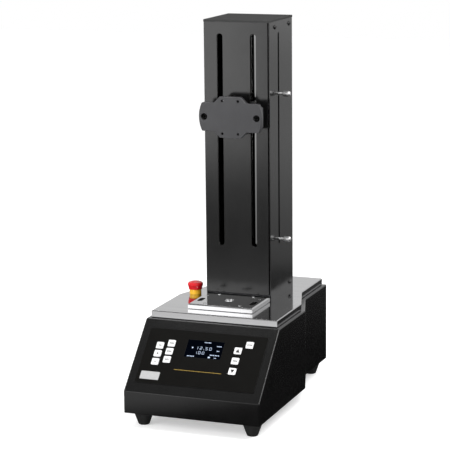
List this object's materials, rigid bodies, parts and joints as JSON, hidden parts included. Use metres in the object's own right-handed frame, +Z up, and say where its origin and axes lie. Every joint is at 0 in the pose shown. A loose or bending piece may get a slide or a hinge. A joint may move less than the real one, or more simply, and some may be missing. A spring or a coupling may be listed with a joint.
{
  "type": "motorised force test stand",
  "caption": "Single-column motorised test stand: tapered base with sloping keypad, polished deck and table, and a screw-driven crosshead with a gauge plate.",
  "frame": {"origin": "under the middle of the base, on the surface the feet stand on", "axes": "+Z up the column, -Y to the control panel, +X to the operator's right"},
  "size_m": [0.236, 0.427, 0.65],
  "materials": {
    "powder_black": "satin fine-textured powder coat",
    "matt_black": "matt powder coat",
    "polished_aluminium": "polished",
    "anodised_black": "black anodised",
    "machined_aluminium": "machined",
    "ground_steel": "ground",
    "bronze": "turned",
    "knurled_chrome": "knurled and plated",
    "black_oxide_steel": "black oxide",
    "foot_rubber": "moulded",
    "black_plastic": "moulded",
    "signal_red": "moulded",
    "signal_yellow": "moulded",
    "overlay_black": "printed film",
    "key_white": "moulded",
    "display_glass": "clear",
    "display_dark": "dark blue screen",
    "circuit_green": "circuit board",
    "supply_grey": "sheet case"
  },
  "bodies": {
    "frame": {"base_housing": "powder_black", "bottom_plate": "powder_black", "rear_panel": "powder_black", "column_front_plate": "powder_black", "column_cover": "powder_black", "column_top_plate": "matt_black", "deck_plate": "polished_aluminium", "specimen_table": "polished_aluminium", "lower_bearing_block": "anodised_black", "upper_bearing_block": "anodised_black", "motor_bracket": "machined_aluminium", "guide_rod_left": "ground_steel", "guide_rod_right": "ground_steel", "lower_bearing": "ground_steel", "upper_bearing": "ground_steel", "table_screws": "black_oxide_steel", "motor": "black_oxide_steel", "foot_front_left": "foot_rubber", "foot_front_right": "foot_rubber", "foot_rear_left": "foot_rubber", "foot_rear_right": "foot_rubber", "power_inlet": "black_plastic", "switch_body": "black_plastic", "estop_body": "black_plastic", "estop_collar": "signal_yellow", "front_overlay": "overlay_black", "display_window": "display_glass", "display_module": "display_dark", "keypad_board": "circuit_green", "control_board": "circuit_green", "power_supply": "supply_grey"},
    "crosshead": {"carriage": "machined_aluminium", "lead_nut": "bronze", "bushing_left": "ground_steel", "bushing_right": "ground_steel", "crosshead_yoke": "anodised_black", "mounting_bracket": "anodised_black", "bracket_screws": "black_oxide_steel", "sensor_flag": "ground_steel"},
    "screw": {"lead_screw": "black_oxide_steel", "coupling": "machined_aluminium", "motor_shaft": "ground_steel"},
    "upper_stop": {"upper_stop_slider": "black_oxide_steel"},
    "upper_knob": {"upper_stop_knob": "knurled_chrome"},
    "lower_stop": {"lower_stop_slider": "black_oxide_steel"},
    "lower_knob": {"lower_stop_knob": "knurled_chrome"},
    "estop_plunger": {"estop_stem": "black_plastic"},
    "estop_button": {"estop_head": "signal_red"},
    "rocker": {"power_rocker": "black_plastic"},
    "key_left_outer_1": {"key_left_outer_1": "key_white"},
    "key_left_outer_2": {"key_left_outer_2": "key_white"},
    "key_left_outer_3": {"key_left_outer_3": "key_white"},
    "key_left_inner_1": {"key_left_inner_1": "key_white"},
    "key_left_inner_2": {"key_left_inner_2": "key_white"},
    "key_left_inner_3": {"key_left_inner_3": "key_white"},
    "key_up": {"key_up": "key_white"},
    "key_stop": {"key_stop": "key_white"},
    "key_down": {"key_down": "key_white"},
    "key_menu": {"key_menu": "key_white"}
  },
  "joints": [
    {"name": "crosshead_travel", "type": "slide", "parent": "frame", "child": "crosshead", "axis": [0, 0, 1], "range_m": [-0.195, 0.11]},
    {"name": "screw_spin", "type": "hinge", "parent": "frame", "child": "screw", "pos_m": [0, 0.0795, 0.3], "axis": [0, 0, 1], "range_deg": [-3970, 7030]},
    {"name": "upper_stop_slide", "type": "slide", "parent": "frame", "child": "upper_stop", "axis": [0, 0, 1], "range_m": [-0.115, 0.085]},
    {"name": "upper_knob_turn", "type": "hinge", "parent": "upper_stop", "child": "upper_knob", "pos_m": [0.07, 0.0545, 0.524], "axis": [1, 0, 0], "range_deg": [0, 360]},
    {"name": "lower_stop_slide", "type": "slide", "parent": "frame", "child": "lower_stop", "axis": [0, 0, 1], "range_m": [-0.002, 0.11]},
    {"name": "lower_knob_turn", "type": "hinge", "parent": "lower_stop", "child": "lower_knob", "pos_m": [0.07, 0.0545, 0.2745], "axis": [1, 0, 0], "range_deg": [0, 360]},
    {"name": "estop_press", "type": "slide", "parent": "frame", "child": "estop_plunger", "axis": [0, 0, 1], "range_m": [-0.004, 0]},
    {"name": "estop_twist", "type": "hinge", "parent": "estop_plunger", "child": "estop_button", "pos_m": [-0.0875, 0.0305, 0.185], "axis": [0, 0, 1], "range_deg": [-45, 0]},
    {"name": "power_rocker_tilt", "type": "hinge", "parent": "frame", "child": "rocker", "pos_m": [-0.028, 0.2055, 0.086], "axis": [1, 0, 0], "range_deg": [0, 14]},
    {"name": "key_left_outer_1_press", "type": "slide", "parent": "frame", "child": "key_left_outer_1", "axis": [0, 0.7071, -0.7071], "range_m": [0, 0.0005], "stiffness_N_per_m": 1000},
    {"name": "key_left_outer_2_press", "type": "slide", "parent": "frame", "child": "key_left_outer_2", "axis": [0, 0.7071, -0.7071], "range_m": [0, 0.0005], "stiffness_N_per_m": 1000},
    {"name": "key_left_outer_3_press", "type": "slide", "parent": "frame", "child": "key_left_outer_3", "axis": [0, 0.7071, -0.7071], "range_m": [0, 0.0005], "stiffness_N_per_m": 1000},
    {"name": "key_left_inner_1_press", "type": "slide", "parent": "frame", "child": "key_left_inner_1", "axis": [0, 0.7071, -0.7071], "range_m": [0, 0.0005], "stiffness_N_per_m": 1000},
    {"name": "key_left_inner_2_press", "type": "slide", "parent": "frame", "child": "key_left_inner_2", "axis": [0, 0.7071, -0.7071], "range_m": [0, 0.0005], "stiffness_N_per_m": 1000},
    {"name": "key_left_inner_3_press", "type": "slide", "parent": "frame", "child": "key_left_inner_3", "axis": [0, 0.7071, -0.7071], "range_m": [0, 0.0005], "stiffness_N_per_m": 1000},
    {"name": "key_up_press", "type": "slide", "parent": "frame", "child": "key_up", "axis": [0, 0.7071, -0.7071], "range_m": [0, 0.0005], "stiffness_N_per_m": 1000},
    {"name": "key_stop_press", "type": "slide", "parent": "frame", "child": "key_stop", "axis": [0, 0.7071, -0.7071], "range_m": [0, 0.0005], "stiffness_N_per_m": 1000},
    {"name": "key_down_press", "type": "slide", "parent": "frame", "child": "key_down", "axis": [0, 0.7071, -0.7071], "range_m": [0, 0.0005], "stiffness_N_per_m": 1000},
    {"name": "key_menu_press", "type": "slide", "parent": "frame", "child": "key_menu", "axis": [0, 0.7071, -0.7071], "range_m": [0, 0.0005], "stiffness_N_per_m": 1000}
  ],
  "couplings": [
    {"joint": "screw_spin", "follows": "crosshead_travel", "rad_per_m": -628.32}
  ]
}
